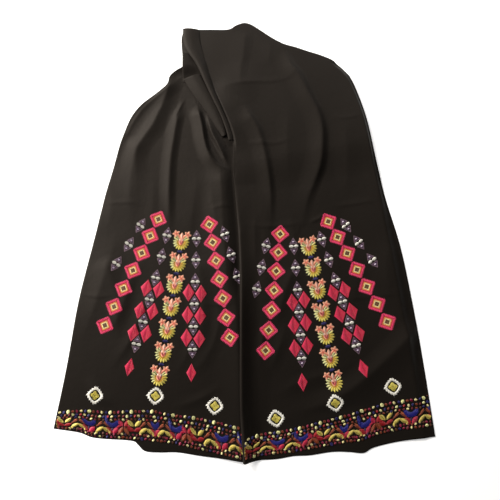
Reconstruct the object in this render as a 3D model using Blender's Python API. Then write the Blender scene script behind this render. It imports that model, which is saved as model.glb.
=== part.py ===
"""A silk stole laid flat: two embroidered tails side by side under a folded neck.

Metres, +Z up. The stole lies on z = 0, its neck towards +Y and its two hems towards -Y.
All sizes below are in millimetres and are turned into metres when a mesh is made.
"""

import bpy
import numpy as np

MM = 0.001

# Cloth and layers
WALL = 1.2            # the cloth wall
GAP = 0.35            # between pieces that touch
FLOOR = WALL / 2      # middle of a wall that lies on the floor
BACK_TOP = 6.4        # top of the hidden layers under the neck
OVER_TAIL = WALL + 2 * GAP
OVER_BACK = BACK_TOP + GAP

# How the right tail comes down off the left tail and off the neck
HIDDEN_EDGE_RAMP = 40  # from the left tail's edge to the floor
HIDDEN_EDGE_CLEAR = 4
NECK_RAMP = 92         # from the neck's layers down to the floor
NECK_RAMP_CLEAR = 8
LAYERS_END = 176       # lower end of the neck's layers at the middle
LAYERS_SLANT = 0.2
SHOULDER_RAMP = 12     # from the shoulder's outer edge up to the neck's layers
SHOULDER_TOP = 430     # above this the edge stays on the neck's layers
SHOULDER_FADE = 20

# How the left tail rounds off and dips to the floor where the right one begins
DIP_REACH = 20
DIP_CLEAR = 5
DIP_ROUND = 2.0
DIP_LOW, DIP_HIGH = -200, 290
DIP_FADE = 100

# Grid of each wall: cells across, cells along
TAIL_CELLS = (34, 46)
FINER = 1.3           # above 1 the cells narrow towards the tails' inner edges
STRIP_CELLS = (9, 14)
ROLL_CELLS = (12, 24)

# Outlines in plan, each from its hem end to its neck end, or from left to right
LEFT_HEM = ((-428, -450), (-371, -458), (-343, -468), (-312, -472), (-252, -476),
            (-237, -485), (-221, -498), (-188, -501), (-149, -501), (-99, -508),
            (-49, -514), (-1, -520))
LEFT_OUTER = ((-428, -450), (-405, -310), (-385, -164), (-358, -35), (-336, 70),
              (-320, 136), (-303, 205), (-291, 242), (-276, 279), (-250, 312),
              (-208, 345), (-190, 362), (-185, 383), (-172, 397), (-154, 408))
LEFT_INNER = ((-1, -520), (17, -389), (38, -197), (44, -60), (34, 40), (12, 110),
              (-8, 160), (-20, 200), (-45, 250), (-75, 300), (-95, 345), (-105, 384))
LEFT_TOP = ((-154, 408), (-132, 407), (-115, 399), (-105, 384))

RIGHT_HEM = ((-2, -518), (35, -517), (74, -515), (110, -509), (147, -507), (196, -500),
             (234, -500), (266, -502), (288, -491), (329, -481), (362, -475),
             (393, -471), (428, -467))
RIGHT_INNER = ((-2, -518), (-9, -388), (-10, -164), (-13, -35), (-18, 37), (-23, 98),
               (-28, 152), (-28, 200), (-33, 245), (-55, 302), (-79, 355), (-98, 405),
               (-120, 452), (-129, 484), (-130, 502))
RIGHT_TOP = ((-130, 502), (-90, 502), (-42, 502), (-22, 513), (-3, 520), (14, 517),
             (38, 502), (68, 481), (97, 465), (127, 456), (156, 446), (190, 435), (222, 421))
RIGHT_OUTER = ((428, -467), (410, -311), (389, -162), (367, -35), (338, 73), (319, 159),
               (300, 263), (281, 330), (260, 380), (243, 404), (222, 421))

BACK_EDGE = ((-153, 499), (-90, 501), (-42, 501), (-22, 512), (-3, 520), (14, 516),
             (38, 501), (68, 480), (97, 464), (127, 455), (156, 443), (184, 428),
             (206, 411), (234, 376), (262, 324), (280, 262), (288, 232), (200, 214),
             (100, 196), (0, 176), (-10, 184), (-15, 202), (-36, 252), (-57, 302),
             (-77, 346), (-99, 388), (-111, 403), (-130, 411), (-153, 412))

# Height and inset of the hidden layers' edge, two layers with a groove between
BACK_PROFILE = ((0.0, 2.6), (0.7, 0.6), (1.9, 0.2), (3.1, 0.6),
                (3.5, 2.4), (3.9, 0.6), (4.8, 0.0), (5.8, 0.7), (BACK_TOP, 2.6))

STRIP_LEFT = ((-152, 377), (-130, 342), (-100, 301), (-74, 258), (-60, 237), (-54, 228))
STRIP_RIGHT = ((-103, 388), (-82, 345), (-64, 307), (-49, 266), (-45, 246), (-44, 232))
ROLL_LEFT = ((-153, 502), (-152, 474), (-142, 445), (-118, 408), (-100, 368), (-82, 329),
             (-61, 286), (-47, 250), (-41, 230), (-38, 217))
ROLL_RIGHT = ((-114, 502), (-112, 478), (-106, 450), (-95, 413), (-80, 365), (-60, 315),
              (-42, 272), (-33, 246), (-29, 230), (-28, 216))

FOLD_END = 0.12            # share of a fold's height that is left at its ends
FOLD_RAMPS = (0.15, 0.35)  # shares of its length over which it rises and falls
CREST_ROUND = 4.0          # how far from its line a crest stays rounded
FOLD_FLARE = 1.6           # how much a flank flattens towards its foot

# Folds: points of the crest in plan, height, reach left, reach right, as seen going along it
LEFT_FOLDS = (
    (((-292, 215), (-276, 255), (-260, 283), (-239, 309), (-212, 332), (-188, 352),
      (-168, 372), (-146, 392)), 3.0, 13, 22),
    (((-172, 396), (-186, 356), (-196, 322), (-211, 286), (-225, 255), (-245, 225),
      (-259, 199), (-263, 172), (-262, 146), (-258, 112)), 6.5, 30, 36),
    (((-156, 316), (-161, 285), (-167, 255), (-172, 219), (-178, 167), (-180, 101),
      (-179, 52), (-178, -10)), 5.5, 15, 24),
    (((-262, 232), (-268, 172), (-274, 100), (-272, 10)), 3.0, 60, 50),
    (((-117, 310), (-111, 288), (-104, 260), (-97, 220), (-86, 186), (-66, 161), (-36, 146)),
     9.5, 9, 26),
    (((-62, 170), (-54, 100), (-52, 40), (-46, -40), (-39, -130), (-32, -200)), 9.0, 64, 66),
    (((-26, -90), (-14, -300), (-8, -520), (-6, -900)), 5.0, 30, 60),
    (((-330, -60), (-300, -150), (-290, -260)), 3.0, 45, 60),
    (((-110, -60), (-96, -170), (-104, -300)), 3.0, 40, 40),
)
RIGHT_FOLDS = (
    (((-4, 310), (12, 280), (28, 254), (40, 222), (52, 170), (60, 114), (63, 71), (60, 10)),
     5.5, 13, 32),
    (((96, 452), (111, 414), (135, 378), (156, 332), (176, 291), (186, 250), (186, 205),
      (181, 160), (167, 118), (152, 80), (136, 20)), 7.5, 16, 38),
    (((238, 396), (262, 345), (282, 280), (298, 200), (316, 110), (330, 20), (346, -80),
      (362, -190), (380, -300), (396, -420), (412, -560)), 8.0, 18, 90),
    (((3, 502), (-2, 447), (-9, 400), (-12, 352)), 2.5, 18, 46),
    (((420, -200), (330, -290), (260, -350), (180, -395), (90, -420)), 6.0, 50, 34),
    (((-20, 125), (-19, 98), (-14, 37), (-9, -35), (-6, -164), (-5, -388), (2, -518), (4, -900)),
     5.0, 34, 10),
    (((-10, -10), (-7, -90), (-6, -164), (-5, -388), (2, -518), (4, -900)), 7.5, 38, 12),
    (((116, -90), (92, -150), (70, -230)), 3.0, 30, 30),
)

# The rolled edge: width share from the left, height above its seat, from the top
# layer's right end, over the crown, round the left edge and back underneath
ROLL_SECTION = ((1.0, 0.6), (0.92, 2.0), (0.8, 3.6), (0.6, 5.4), (0.4, 6.4),
                (0.22, 6.3), (0.08, 5.0), (0.0, 3.4), (0.05, 1.6), (0.18, 0.6),
                (0.36, 0.6), (0.55, 0.6))
ROLL_SEAT = OVER_BACK + WALL + GAP
ROLL_TAPER = 0.52       # share of its height that the rolled edge loses at its lower end
ROLL_TAPER_FROM = 0.55
ROLL_CLIMB = 0.3        # share of its length over which it climbs onto the strip
ROLL_LEAN_FROM = 0.5    # share of its width from which it comes down off the strip
ROLL_LEAN = 0.4
STRIP_CROWN = 2.4
STRIP_CLIMB_BY = 0.6    # share of its width by which the strip reaches the neck's height
STRIP_FALL_FROM = 0.82  # share from which it falls again, into the groove beside the roll
STRIP_FALL = 0.85       # share of that height that it loses there
STRIP_LOW_END = 0.6     # share of its height that the strip loses at its lower end

CURVE_STEPS = 12        # between two points of an outline
LINE_STEPS = 40         # along a whole line, where distances to it are measured

CLOTH_COLOUR = (0.030, 0.024, 0.020, 1.0)
CLOTH_ROUGHNESS = 0.52


def clear_scene():
    for item in list(bpy.data.objects):
        bpy.data.objects.remove(item, do_unlink=True)


def smooth(t):
    """0 below 0, 1 above 1, with level ends."""
    t = np.clip(t, 0.0, 1.0)
    return t * t * (3.0 - 2.0 * t)


def along(points, shares):
    """Points of a smooth curve through the given ones, at these shares of its length."""
    p = np.array(points, float)
    p = np.vstack([2 * p[0] - p[1], p, 2 * p[-1] - p[-2]])
    fine = []
    for a, b, c, d in zip(p[:-3], p[1:-2], p[2:-1], p[3:]):
        for t in np.linspace(0, 1, CURVE_STEPS, endpoint=False):
            fine.append(0.5 * (2 * b + (c - a) * t + (2 * a - 5 * b + 4 * c - d) * t ** 2
                               + (3 * b - a - 3 * c + d) * t ** 3))
    fine = np.array(fine + [p[-2]])
    run = np.concatenate([[0], np.cumsum(np.linalg.norm(np.diff(fine, axis=0), axis=1))])
    want = np.asarray(shares) * run[-1]
    return np.stack([np.interp(want, run, fine[:, k]) for k in (0, 1)], axis=-1)


def patch(hem, top, left, right, u, up):
    """Plan points of a panel between its four outlines, at the shares u of its width."""
    v = np.linspace(0, 1, up + 1)
    low, high = along(hem, u)[None], along(top, u)[None]
    side_l, side_r = along(left, v)[:, None], along(right, v)[:, None]
    u, v = u[None, :, None], v[:, None, None]
    corners = ((1 - u) * (1 - v) * low[:, :1] + u * (1 - v) * low[:, -1:]
               + (1 - u) * v * high[:, :1] + u * v * high[:, -1:])
    return (1 - v) * low + v * high + (1 - u) * side_l + u * side_r - corners


def nearest(plan, line):
    """For each plan point: distance to a line, side of it (+1 right), share along it."""
    path = along(line, np.linspace(0, 1, LINE_STEPS))
    start, step = path[:-1], np.diff(path, axis=0)
    offset = plan[..., None, :] - start
    t = np.clip((offset * step).sum(-1) / (step ** 2).sum(-1), 0, 1)
    away = offset - t[..., None] * step
    far = np.linalg.norm(away, axis=-1)
    best = far.argmin(-1)[..., None]
    side = np.sign(away[..., 0] * step[..., 1] - away[..., 1] * step[..., 0])
    share = (np.arange(len(step)) + t) / len(step)
    return tuple(np.take_along_axis(a, best, -1)[..., 0] for a in (far, side, share))


def folds_height(plan, folds):
    """Added height of all folds at each plan point, level at the edge of their reach."""
    total = np.zeros(plan.shape[:-1])
    for crest, height, reach_left, reach_right in folds:
        far, side, share = nearest(plan, crest)
        reach = np.where(side > 0, reach_right, reach_left)
        far = np.hypot(far, CREST_ROUND) - CREST_ROUND
        across = np.clip(1 - far / reach, 0, 1) ** FOLD_FLARE
        rise, fall = FOLD_RAMPS
        ends = FOLD_END + (1 - FOLD_END) * smooth(share / rise) * smooth((1 - share) / fall)
        total += height * across * ends
    return total


def seam_dip(plan):
    """Share of its height that the left tail loses at the right tail's inner edge."""
    far, side, _ = nearest(plan, RIGHT_INNER)
    near = (1 - np.clip((far - DIP_CLEAR) / DIP_REACH, 0, 1)) ** DIP_ROUND
    y = plan[..., 1]
    ends = smooth((y - DIP_LOW) / DIP_FADE) * smooth((DIP_HIGH - y) / DIP_FADE)
    return np.where(side > 0, 1.0, near) * ends


def left_height(plan):
    return FLOOR + folds_height(plan, LEFT_FOLDS) * (1 - seam_dip(plan))


def right_height(plan):
    """The right tail rides over the left one and over the hidden layers of the neck."""
    x, y = plan[..., 0], plan[..., 1]
    hidden = np.array(LEFT_INNER, float)
    hidden_edge = np.interp(y, hidden[:, 1], hidden[:, 0])
    beyond = smooth((x - hidden_edge - HIDDEN_EDGE_CLEAR) / HIDDEN_EDGE_RAMP)
    over = (left_height(plan) - FLOOR + OVER_TAIL) * (1 - beyond)
    layers_end = LAYERS_END + LAYERS_SLANT * np.clip(x, 0, None)
    neck = OVER_BACK * smooth((y - layers_end + NECK_RAMP + NECK_RAMP_CLEAR) / NECK_RAMP)
    far, _, _ = nearest(plan, RIGHT_OUTER)
    shoulder = 1 - (1 - smooth(far / SHOULDER_RAMP)) * smooth((SHOULDER_TOP - y) / SHOULDER_FADE)
    return FLOOR + np.maximum(over, neck * shoulder) + folds_height(plan, RIGHT_FOLDS) * shoulder


def wall(middle):
    """A closed wall of cloth round a grid of middle points: vertices and faces."""
    du = np.gradient(middle, axis=1)
    dv = np.gradient(middle, axis=0)
    normal = np.cross(du, dv)
    normal /= np.linalg.norm(normal, axis=-1, keepdims=True)
    top, under = middle + normal * WALL / 2, middle - normal * WALL / 2
    rows, cols = middle.shape[:2]
    at = np.arange(rows * cols).reshape(rows, cols)
    below = at + rows * cols
    faces = []
    for i in range(rows - 1):
        for j in range(cols - 1):
            faces.append((at[i, j], at[i, j + 1], at[i + 1, j + 1], at[i + 1, j]))
            faces.append((below[i, j], below[i + 1, j], below[i + 1, j + 1], below[i, j + 1]))
    rim = ([(0, j) for j in range(cols)] + [(i, cols - 1) for i in range(1, rows)]
           + [(rows - 1, j) for j in range(cols - 2, -1, -1)]
           + [(i, 0) for i in range(rows - 2, 0, -1)])
    for a, b in zip(rim, rim[1:] + rim[:1]):
        faces.append((below[a], below[b], at[b], at[a]))
    return np.concatenate([top.reshape(-1, 3), under.reshape(-1, 3)]), faces


def raised(plan, height):
    return np.concatenate([plan, height[..., None]], axis=-1)


def tail(hem, top, left, right, shares, height):
    plan = patch(hem, top, left, right, shares, TAIL_CELLS[1])
    return wall(raised(plan, height(plan)))


def neck_strip():
    """The second fold of the neck, a band that lies on the left tail's inner edge."""
    across, up = STRIP_CELLS
    share = np.linspace(0, 1, up + 1)
    left, right = along(STRIP_LEFT, share)[:, None], along(STRIP_RIGHT, share)[:, None]
    u = np.linspace(0, 1, across + 1)[None, :, None]
    plan = left + (right - left) * u
    u = u[..., 0]
    seat = left_height(plan) + WALL + 2 * GAP
    climb = smooth(u / STRIP_CLIMB_BY) * (1 - STRIP_LOW_END * share[:, None])
    climb *= 1 - STRIP_FALL * smooth((u - STRIP_FALL_FROM) / (1 - STRIP_FALL_FROM))
    seat += np.maximum(OVER_BACK + FLOOR - seat, 0) * climb
    crown = STRIP_CROWN * np.sin(np.pi * u) * (1 - STRIP_LOW_END * share[:, None])
    return wall(raised(plan, seat + crown))


def neck_roll():
    """The right tail's inner edge, rolled over on itself on top of the neck."""
    section = along(ROLL_SECTION, np.linspace(0, 1, ROLL_CELLS[0] + 1))
    share = np.linspace(0, 1, ROLL_CELLS[1] + 1)
    left, right = along(ROLL_LEFT, share), along(ROLL_RIGHT, share)
    rows = []
    for low, a, b in zip(share, left, right):
        over_strip = STRIP_CROWN * smooth(low / ROLL_CLIMB) * (1 - low)
        taper = 1 - ROLL_TAPER * smooth((low - ROLL_TAPER_FROM) / (1 - ROLL_TAPER_FROM))
        for across, rise in section:
            seat = ROLL_SEAT + over_strip * (1 - smooth((across - ROLL_LEAN_FROM) / ROLL_LEAN))
            rows.append((*(a + (b - a) * across), seat + FLOOR + (rise - FLOOR) * taper))
    return wall(np.array(rows).reshape(len(share), len(section), 3))


def neck_back():
    """The hidden layers of the neck as one solid, its edge grooved between two layers."""
    edge = np.array(BACK_EDGE, float)[::-1]
    ahead, behind = np.roll(edge, -1, axis=0), np.roll(edge, 1, axis=0)
    forward = (ahead - edge) / np.linalg.norm(ahead - edge, axis=1, keepdims=True)
    back = (edge - behind) / np.linalg.norm(edge - behind, axis=1, keepdims=True)
    inward = np.stack([-(forward + back)[:, 1], (forward + back)[:, 0]], axis=1)
    inward /= np.linalg.norm(inward, axis=1, keepdims=True)
    rings = [np.c_[edge + inward * inset, np.full(len(edge), height)]
             for height, inset in BACK_PROFILE]
    n = len(edge)
    faces = [tuple(range(n))[::-1]]
    for level in range(len(rings) - 1):
        for i in range(n):
            j = (i + 1) % n
            faces.append((level * n + i, level * n + j, (level + 1) * n + j, (level + 1) * n + i))
    faces.append(tuple(range((len(rings) - 1) * n, len(rings) * n)))
    return np.concatenate(rings), faces


def cloth_material(name):
    material = bpy.data.materials.new(name)
    material.use_nodes = True
    shader = material.node_tree.nodes["Principled BSDF"]
    shader.inputs["Base Color"].default_value = CLOTH_COLOUR
    shader.inputs["Roughness"].default_value = CLOTH_ROUGHNESS
    shader.inputs["Metallic"].default_value = 0.0
    material.diffuse_color = CLOTH_COLOUR
    return material


def add(name, shape):
    points, faces = shape
    mesh = bpy.data.meshes.new(name)
    mesh.from_pydata((points * MM).tolist(), [], [tuple(int(i) for i in f) for f in faces])
    mesh.materials.append(cloth_material(name + "_silk"))
    mesh.shade_smooth()
    piece = bpy.data.objects.new(name, mesh)
    bpy.context.scene.collection.objects.link(piece)
    return piece


def build():
    clear_scene()
    from_inner = np.linspace(0, 1, TAIL_CELLS[0] + 1) ** FINER
    add("left_tail", tail(LEFT_HEM, LEFT_TOP, LEFT_OUTER, LEFT_INNER,
                          1 - from_inner[::-1], left_height))
    add("right_tail", tail(RIGHT_HEM, RIGHT_TOP, RIGHT_INNER, RIGHT_OUTER,
                           from_inner, right_height))
    add("neck_back", neck_back())
    add("neck_strip", neck_strip())
    add("neck_roll", neck_roll())


build()
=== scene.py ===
"""A dark silk stole laid flat on a pale floor, with its embroidery laid on thread by thread."""

import math
import bpy
import numpy as np
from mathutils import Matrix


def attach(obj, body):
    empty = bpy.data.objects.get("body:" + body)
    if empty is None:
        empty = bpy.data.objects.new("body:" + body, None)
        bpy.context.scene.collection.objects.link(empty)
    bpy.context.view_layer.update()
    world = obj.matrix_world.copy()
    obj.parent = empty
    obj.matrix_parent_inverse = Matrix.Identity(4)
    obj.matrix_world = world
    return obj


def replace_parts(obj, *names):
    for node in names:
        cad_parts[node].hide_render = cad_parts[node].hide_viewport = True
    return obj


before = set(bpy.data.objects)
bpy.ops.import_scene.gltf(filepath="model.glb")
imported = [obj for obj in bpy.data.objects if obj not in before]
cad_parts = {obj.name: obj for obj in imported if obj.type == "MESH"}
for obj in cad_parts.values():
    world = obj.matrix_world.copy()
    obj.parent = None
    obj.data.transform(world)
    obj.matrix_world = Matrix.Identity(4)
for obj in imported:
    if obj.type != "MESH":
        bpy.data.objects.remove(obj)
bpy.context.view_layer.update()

MM = 0.001
DEG = math.pi / 180
ACROSS = 1.57  # a quarter turn, for threads laid across a shape
rng = np.random.default_rng(11)

# Camera: the photo's own angle, nearly straight down
PICTURE_PX = 500
LENS_PX = 345.0  # focal length in pixels of that picture
SENSOR = 36.0
TILT = 5.5 * DEG  # from straight down
SIGHT = (13.0, -47.0)  # plan point at the middle of the picture
DISTANCE = 814.0

# Cloth
WALL = 1.2  # the CAD walls
GAP = 0.35
FLOOR = WALL / 2
BACK_TOP = 6.4
OVER_TAIL = WALL + 2 * GAP
OVER_BACK = BACK_TOP + GAP
SILK = 0.6  # the shown cloth, with its hems' thickness
LEAST_TURN = 0.4  # radius of the tightest turn at the top of the right tail

# Cells of each piece, across and along
TAIL_CELLS = (150, 290)
STRIP_CELLS = (20, 60)
ROLL_CELLS = (39, 119)
POCKET_CELLS = (24, 36)
LAYERS_CELLS = (360, 24)
FINER = 1.2  # above 1 the cells narrow towards the tails' inner edges
CURVE_STEPS = 12  # between two points of an outline
LINE_STEPS = 30  # along a whole line, where distances to it are measured
OUTLINE_STEPS = 60

# How the right tail comes down off the left tail and off the neck
HIDDEN_EDGE_RAMP = 40  # from the left tail's edge to the floor
HIDDEN_EDGE_CLEAR = 4
NECK_RAMP = 92  # from the neck's layers down to the floor
NECK_RAMP_CLEAR = 8
LAYERS_END = 176  # lower end of the neck's layers at the middle
LAYERS_SLANT = 0.2  # rise of that end towards the right
SHOULDER_RAMP = 12  # from the shoulder's outer edge up to the neck's layers
SHOULDER_TOP = 430  # above this the edge stays on the neck's layers
SHOULDER_FADE = 20

# How the left tail rounds off and dips to the floor where the right one begins
DIP_REACH = 20
DIP_CLEAR = 5
DIP_ROUND = 2.0
DIP_LOW, DIP_HIGH = -200, 290
DIP_FADE = 100

# Outlines in plan, left to right or up; the strip's and the roll's sides go down
LEFT_HEM = ((-428, -450), (-371, -458), (-343, -468), (-312, -472), (-252, -476), (-237, -485),
    (-221, -498), (-188, -501), (-149, -501), (-99, -508), (-49, -514), (-1, -520))
LEFT_OUTER = ((-428, -450), (-405, -310), (-385, -164), (-358, -35), (-336, 70), (-320, 136),
    (-303, 205), (-291, 242), (-276, 279), (-250, 312), (-208, 345), (-190, 362), (-185, 383),
    (-172, 397), (-154, 408))
LEFT_INNER = ((-1, -520), (17, -389), (38, -197), (44, -60), (34, 40), (12, 110), (-8, 160),
    (-20, 200), (-45, 250), (-75, 300), (-95, 345), (-105, 384))
LEFT_TOP = ((-154, 408), (-132, 407), (-115, 399), (-105, 384))

RIGHT_HEM = ((-2, -518), (35, -517), (74, -515), (110, -509), (147, -507), (196, -500),
    (234, -500), (266, -502), (288, -491), (329, -481), (362, -475), (393, -471), (428, -467))
RIGHT_INNER = ((-2, -518), (-9, -388), (-10, -164), (-13, -35), (-18, 37), (-23, 98), (-28, 152),
    (-28, 200), (-33, 245), (-55, 302), (-79, 355), (-98, 405), (-120, 452), (-129, 484),
    (-130, 502))
RIGHT_TOP = ((-130, 502), (-90, 502), (-42, 502), (-22, 513), (-3, 520), (14, 517), (38, 502),
    (68, 481), (97, 465), (127, 456), (156, 446), (190, 435), (222, 421))
RIGHT_OUTER = ((428, -467), (410, -311), (389, -162), (367, -35), (338, 73), (319, 159),
    (300, 263), (281, 330), (260, 380), (243, 404), (222, 421))

BACK_EDGE = ((-153, 499), (-90, 501), (-42, 501), (-22, 512), (-3, 520), (14, 516), (38, 501),
    (68, 480), (97, 464), (127, 455), (156, 443), (184, 428), (206, 411), (234, 376), (262, 324),
    (280, 262), (288, 232), (200, 214), (100, 196), (0, 176), (-10, 184), (-15, 202), (-36, 252),
    (-57, 302), (-77, 346), (-99, 388), (-111, 403), (-130, 411), (-153, 412))

# Edge of the neck's layers: height, how far in from the outline
BACK_PROFILE = ((0.0, 2.6), (0.7, 0.6), (1.9, 0.2), (3.1, 0.6), (3.5, 2.4), (3.9, 0.6),
    (4.8, 0.0), (5.8, 0.7), (BACK_TOP, 2.6))

# The neck's strip, roll and small front layer
STRIP_LEFT = ((-152, 377), (-130, 342), (-100, 301), (-74, 258), (-60, 237), (-54, 228))
STRIP_RIGHT = ((-103, 388), (-82, 345), (-64, 307), (-49, 266), (-45, 246), (-44, 232))
ROLL_LEFT = ((-153, 502), (-152, 474), (-142, 445), (-118, 408), (-100, 368), (-82, 329),
    (-61, 286), (-47, 250), (-41, 230), (-38, 217))
ROLL_RIGHT = ((-114, 502), (-112, 478), (-106, 450), (-95, 413), (-80, 365), (-60, 315),
    (-42, 272), (-33, 246), (-29, 230), (-28, 216))
# Section of the roll: share of its width, height above its seat
ROLL_SECTION = ((1.0, 0.6), (0.92, 2.0), (0.8, 3.6), (0.6, 5.4), (0.4, 6.4), (0.22, 6.3),
    (0.08, 5.0), (0.0, 3.4), (0.05, 1.6), (0.18, 0.6), (0.36, 0.6), (0.55, 0.6))
ROLL_SEAT = OVER_BACK + WALL + GAP
POCKET_LOW = ((-153, 370), (-124, 364), (-94, 366))
POCKET_HIGH = ((-153, 440), (-132, 440), (-110, 440))
POCKET_LEFT = ((-153, 370), (-153, 405), (-153, 440))
POCKET_RIGHT = ((-94, 366), (-100, 405), (-110, 440))
POCKET_STEP = 384.0  # where the pocket climbs onto the neck's layers
POCKET_RAMP = 28.0
POCKET_LIFT = 4.5  # how far its left edge stands up
POCKET_LIFT_REACH = 36.0
POCKET_CLEAR = 0.1
ROLL_TAPER = 0.52  # share of its height that the rolled edge loses at its lower end
ROLL_TAPER_FROM = 0.55
ROLL_CLIMB = 0.3  # share of its length over which it climbs onto the strip
ROLL_LEAN_FROM = 0.5  # share of its width from which it comes down off the strip
ROLL_LEAN = 0.4
STRIP_CROWN = 2.4
STRIP_CLIMB_BY = 0.6  # share of its width by which the strip reaches the neck's height
STRIP_FALL_FROM = 0.82  # share from which it falls again, into the groove beside the roll
STRIP_FALL = 0.85  # share of that height that it loses there
STRIP_LOW_END = 0.6  # share of its height that the strip loses at its lower end

FOLD_END = 0.12  # share of a fold's height that is left at its ends
FOLD_RAMPS = (0.15, 0.35)  # shares of its length over which it rises and falls
CREASE_RAMPS = (0.42, 0.42)
CREST_ROUND = 3.0  # how far from its line a crest stays rounded
WIDE_REACH = 24  # a flank narrower than this has a sharper crest
FOLD_FLARE = 1.6  # how much a flank flattens towards its foot

# Folds: height, reach left, reach right, as seen going along the crest, and its plan points
LEFT_FOLDS = (
    (3.0, 13, 22, (-292, 215), (-276, 255), (-260, 283), (-239, 309), (-212, 332), (-188, 352),
     (-168, 372), (-146, 392)),
    (6.5, 30, 36, (-172, 396), (-186, 356), (-196, 322), (-211, 286), (-225, 255), (-245, 225),
     (-259, 199), (-263, 172), (-262, 146), (-258, 112)),
    (5.5, 15, 24, (-156, 316), (-161, 285), (-167, 255), (-172, 219), (-178, 167), (-180, 101),
     (-179, 52), (-178, -10)),
    (3.0, 60, 50, (-262, 232), (-268, 172), (-274, 100), (-272, 10)),
    (9.5, 9, 26, (-117, 310), (-111, 288), (-104, 260), (-97, 220), (-86, 186), (-66, 161),
     (-36, 146)),
    (9.0, 64, 66, (-62, 170), (-54, 100), (-52, 40), (-46, -40), (-39, -130), (-32, -200)),
    (5.0, 30, 60, (-26, -90), (-14, -300), (-8, -520), (-6, -900)),
    (3.0, 45, 60, (-330, -60), (-300, -150), (-290, -260)),
    (3.0, 40, 40, (-110, -60), (-96, -170), (-104, -300)),
)
SEAM = ((-6, -164), (-5, -388), (2, -518), (4, -900))
RIGHT_FOLDS = (
    (5.5, 13, 32, (-4, 310), (12, 280), (28, 254), (40, 222), (52, 170), (60, 114), (63, 71),
     (60, 10)),
    (7.5, 16, 38, (96, 452), (111, 414), (135, 378), (156, 332), (176, 291), (186, 250),
     (186, 205), (181, 160), (167, 118), (152, 80), (136, 20)),
    (8.0, 18, 90, (238, 396), (262, 345), (282, 280), (298, 200), (316, 110), (330, 20),
     (346, -80), (362, -190), (380, -300), (396, -420), (412, -560)),
    (2.5, 18, 46, (3, 502), (-2, 447), (-9, 400), (-12, 352)),
    (6.0, 50, 34, (420, -200), (330, -290), (260, -350), (180, -395), (90, -420)),
    (5.0, 34, 10, (-20, 125), (-19, 98), (-14, 37), (-9, -35), *SEAM),
    (7.5, 38, 12, (-10, -10), (-7, -90), *SEAM),
    (3.0, 30, 30, (116, -90), (92, -150), (70, -230)),
)

# Smaller creases and wrinkles, in the same form, only in the shown cloth
LEFT_CREASES = (
    (9.5, 16, 8, (-94, 296), (-82, 246), (-66, 212), (-50, 181), (-34, 150)),
    (1.6, 6, 9, (-146, 330), (-158, 303), (-167, 281), (-163, 258)),
    (0.8, 14, 4, (-345, 60), (-313, 64), (-271, 65), (-235, 60)),
    (0.8, 12, 4, (-84, 48), (-53, 57), (-24, 55)),
    (0.7, 14, 4, (-392, -150), (-336, -157), (-290, -150)),
    (0.7, 14, 4, (-110, -172), (-68, -175), (-10, -169)),
    (1.6, 40, 40, (-330, 150), (-318, 60), (-334, -20)),
    (1.2, 26, 30, (-226, 150), (-218, 80), (-226, -10)),
    (1.8, 26, 40, (-128, 170), (-118, 110), (-126, 30), (-136, -40)),
    (1.4, 20, 26, (-84, 120), (-74, 60), (-66, 0)),
    (2.4, 34, 44, (-300, 10), (-322, -90), (-352, -190), (-380, -270)),
    (2.2, 18, 22, (-228, -60), (-262, -110), (-286, -190), (-318, -250)),
    (2.0, 14, 22, (-210, -110), (-240, -200), (-270, -270), (-316, -330)),
    (1.6, 20, 16, (-136, -110), (-118, -200), (-128, -280), (-170, -350)),
    (1.8, 22, 18, (-66, -120), (-60, -220), (-92, -300), (-150, -340)),
    (2.0, 24, 20, (-360, -330), (-330, -380), (-280, -400)),
    (1.6, 18, 16, (-44, -350), (-100, -385), (-170, -405)),
)
RIGHT_CREASES = (
    (0.9, 16, 4, (-80, 348), (-36, 358), (18, 366), (62, 367), (100, 374), (124, 389), (138, 405)),
    (4.5, 60, 80, (-90, 344), (-36, 357), (10, 365), (50, 366)),
    (7.0, 90, 6, (-80, 366), (-60, 318), (-38, 268), (-22, 222), (-18, 180)),
    (0.8, 14, 4, (-24, 209), (37, 209), (90, 213), (128, 232)),
    (0.9, 14, 4, (-14, 12), (61, 8), (150, 16)),
    (1.6, 8, 6, (150, 16), (176, 28), (196, 42)),
    (0.7, 12, 4, (205, 278), (249, 273), (296, 282)),
    (0.8, 14, 4, (186, 54), (251, 61), (338, 74)),
    (0.7, 14, 4, (199, -164), (293, -157), (396, -145)),
    (1.4, 24, 30, (52, 486), (62, 450), (58, 400)),
    (1.4, 30, 26, (108, 330), (104, 260), (102, 190), (106, 110)),
    (1.8, 34, 36, (236, 300), (244, 220), (246, 140), (238, 60)),
    (1.6, 14, 18, (26, 60), (24, -20), (30, -110)),
    (1.6, 22, 30, (98, 60), (120, -30), (126, -110)),
    (2.0, 40, 40, (340, -10), (330, -90), (342, -180)),
    (1.6, 34, 34, (250, -40), (262, -120), (240, -200)),
    (2.2, 20, 26, (100, -210), (76, -280), (52, -340)),
    (1.6, 12, 18, (60, -200), (40, -260), (34, -330)),
    (1.8, 26, 18, (260, -300), (190, -330), (120, -350), (60, -390)),
    (1.6, 22, 16, (300, -400), (220, -420), (120, -440)),
)

# Edges of the tails where the cloth turns under: line, radius of the turn
LEFT_TURN = (((-320, 150), (-307, 197), (-295, 247), (-276, 286), (-245, 318), (-209, 352),
              (-184, 392), (-151, 410)), 2.2)
RIGHT_TURN = (((338, 73), (320, 159), (302, 265), (284, 332), (256, 384)), 2.2)
TURN_REACH = 22
TURN_RISE = 0.3  # share of its length over which a turned edge rises

# Slow uneven rise of the cloth: lengths of the long waves, of those that bend them, of ripples
WAVES = (47, 61)
BENDS = (83, 71)
RIPPLES = (23, 39, 57)
SWELL = 0.45
SWELL_LEVEL = 0.7  # added to the waves, so that only deep troughs reach the floor
RIGHT_SWELL_SHIFT = 300  # gives the right tail waves of its own


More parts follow.
